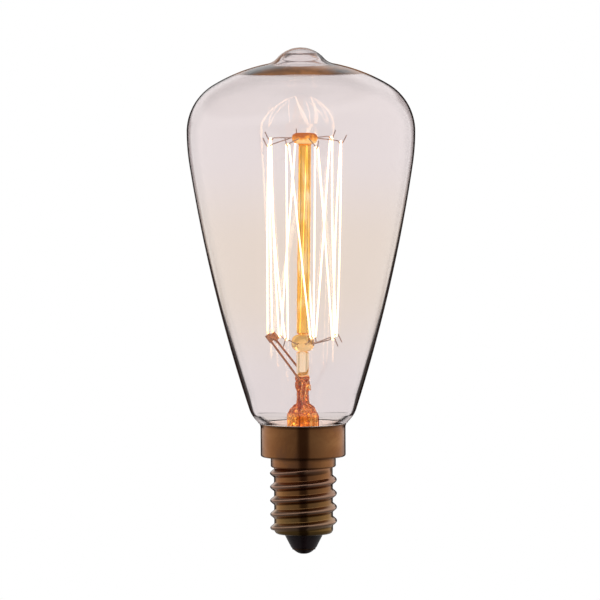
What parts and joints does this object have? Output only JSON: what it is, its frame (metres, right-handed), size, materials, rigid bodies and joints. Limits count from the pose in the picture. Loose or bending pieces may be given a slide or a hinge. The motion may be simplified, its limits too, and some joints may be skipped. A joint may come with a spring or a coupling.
{
  "type": "filament bulb",
  "caption": "Pear-shaped clear bulb with a tall cage of looped filament on a centre rod, and a small screw cap with a collar.",
  "frame": {"origin": "middle of the flat end of the centre contact, on the lamp's axis", "axes": "+Z from the contact up through the cap to the tip of the glass; -Y is the side that the picture shows"},
  "size_m": [0.047, 0.047, 0.1044],
  "materials": {
    "clear_glass": "clear, blown",
    "stem_glass": "clear, flame worked",
    "rod_glass": "clear, fire polished",
    "brass": "aged, brown",
    "black_glass": "gloss, opaque",
    "solder": "dull",
    "cement": "matt",
    "molybdenum_wire": "drawn",
    "nickel_wire": "drawn",
    "copper_wire": "drawn",
    "tungsten": "glowing"
  },
  "bodies": {
    "root": {"glass_envelope": "clear_glass", "cap_shell": "brass", "cement_ring": "cement", "cap_insulator": "black_glass", "contact_plate": "brass", "contact_solder": "solder", "side_solder": "solder", "glass_stem": "stem_glass", "exhaust_tube": "clear_glass", "centre_rod": "rod_glass", "upper_button": "rod_glass", "lower_button": "rod_glass", "upper_hook_1": "molybdenum_wire", "upper_hook_2": "molybdenum_wire", "upper_hook_3": "molybdenum_wire", "upper_hook_4": "molybdenum_wire", "upper_hook_5": "molybdenum_wire", "upper_hook_6": "molybdenum_wire", "upper_hook_7": "molybdenum_wire", "lower_hook_1": "molybdenum_wire", "lower_hook_2": "molybdenum_wire", "lower_hook_3": "molybdenum_wire", "lower_hook_4": "molybdenum_wire", "lower_hook_5": "molybdenum_wire", "lower_hook_6": "molybdenum_wire", "inner_lead_1": "nickel_wire", "inner_lead_2": "nickel_wire", "seal_wire_1": "copper_wire", "seal_wire_2": "copper_wire", "outer_lead_1": "copper_wire", "outer_lead_2": "copper_wire", "filament_clamp_1": "nickel_wire", "filament_clamp_2": "nickel_wire", "filament": "tungsten"}
  },
  "joints": []
}
